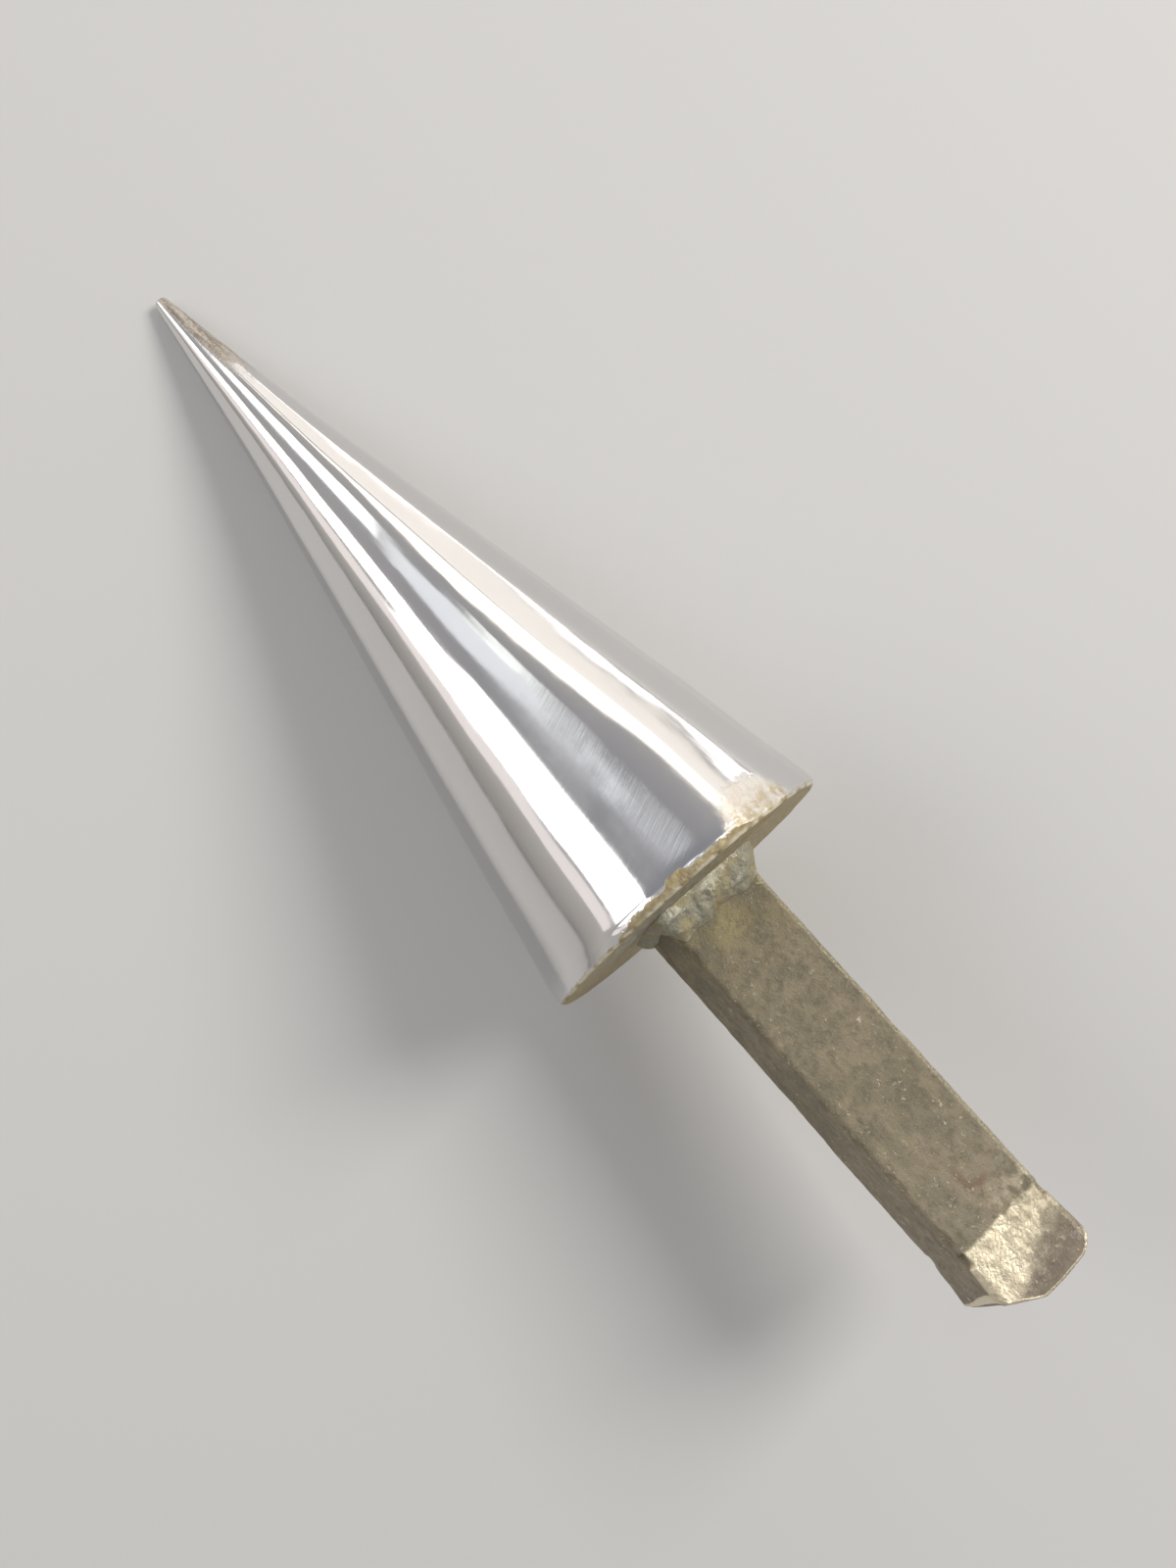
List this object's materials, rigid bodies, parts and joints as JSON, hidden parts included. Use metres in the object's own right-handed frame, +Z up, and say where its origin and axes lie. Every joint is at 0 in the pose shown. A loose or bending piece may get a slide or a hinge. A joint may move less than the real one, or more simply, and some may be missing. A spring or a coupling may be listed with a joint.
{
  "type": "hardy cone mandrel",
  "caption": "Polished steel cone with long hammered flats on a welded base plate, and a square forged shank for an anvil's hardy hole.",
  "frame": {"origin": "under the middle of the tool's box, on the surface that the tool lies on", "axes": "+Z up, +X along the tool from the cone's tip to the end of the shank, +Y to the left when looking along +X"},
  "size_m": [0.3162, 0.079, 0.078],
  "materials": {
    "polished_steel": "hand polished to a mirror over hammered flats",
    "browned_steel": "golden brown oxide, rough, polished on the upper part of the edge",
    "polished_weld": "weld ground flush and polished with the cone",
    "forge_scale": "olive grey forge scale, pitted, worn bright at the end",
    "weld_bead": "lumpy weld, grey with straw tints and bright spatter"
  },
  "bodies": {
    "root": {"cone": "polished_steel", "base_plate": "browned_steel", "seam_weld": "polished_weld", "hardy_shank": "forge_scale", "root_weld": "weld_bead"}
  },
  "joints": []
}
